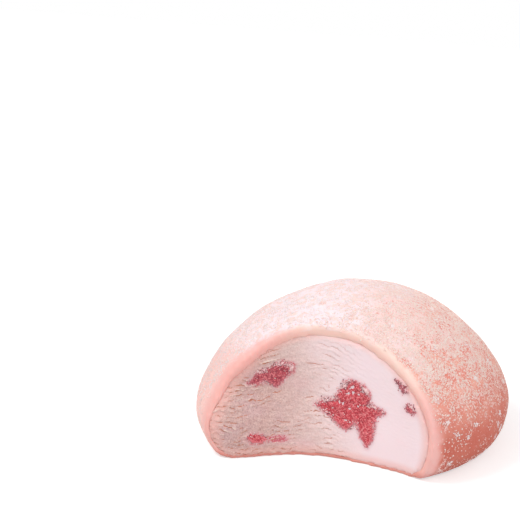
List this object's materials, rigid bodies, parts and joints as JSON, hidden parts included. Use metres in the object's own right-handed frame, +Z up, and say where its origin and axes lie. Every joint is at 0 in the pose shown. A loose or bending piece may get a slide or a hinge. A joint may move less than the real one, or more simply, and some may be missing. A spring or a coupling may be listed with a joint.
{
  "type": "mochi ice cream",
  "caption": "Bitten dome of strawberry mochi ice cream: soft rice-dough skin wrapped round pink ice cream, with strawberry pieces set in the cut face.",
  "frame": {"origin": "centre of the round flat base, on the surface the sweet stands on", "axes": "+Z is up, -Y is the way the bite faces, +X is to the right when looking at the bite"},
  "size_m": [0.0576, 0.051, 0.028],
  "materials": {
    "dough_skin": "soft matte rice dough, faintly translucent, dusted with starch",
    "ice_cream": "pale pink ice cream, torn and frosty, slightly moist",
    "strawberry": "frozen strawberry flesh, granular and moist",
    "starch_powder": "dry matte starch grains"
  },
  "bodies": {
    "root": {"mochi_skin": "dough_skin", "ice_cream": "ice_cream", "strawberry_centre": "strawberry", "strawberry_upper_left": "strawberry", "strawberry_lower_left": "strawberry", "strawberry_right": "strawberry", "strawberry_shred": "strawberry"}
  },
  "joints": []
}
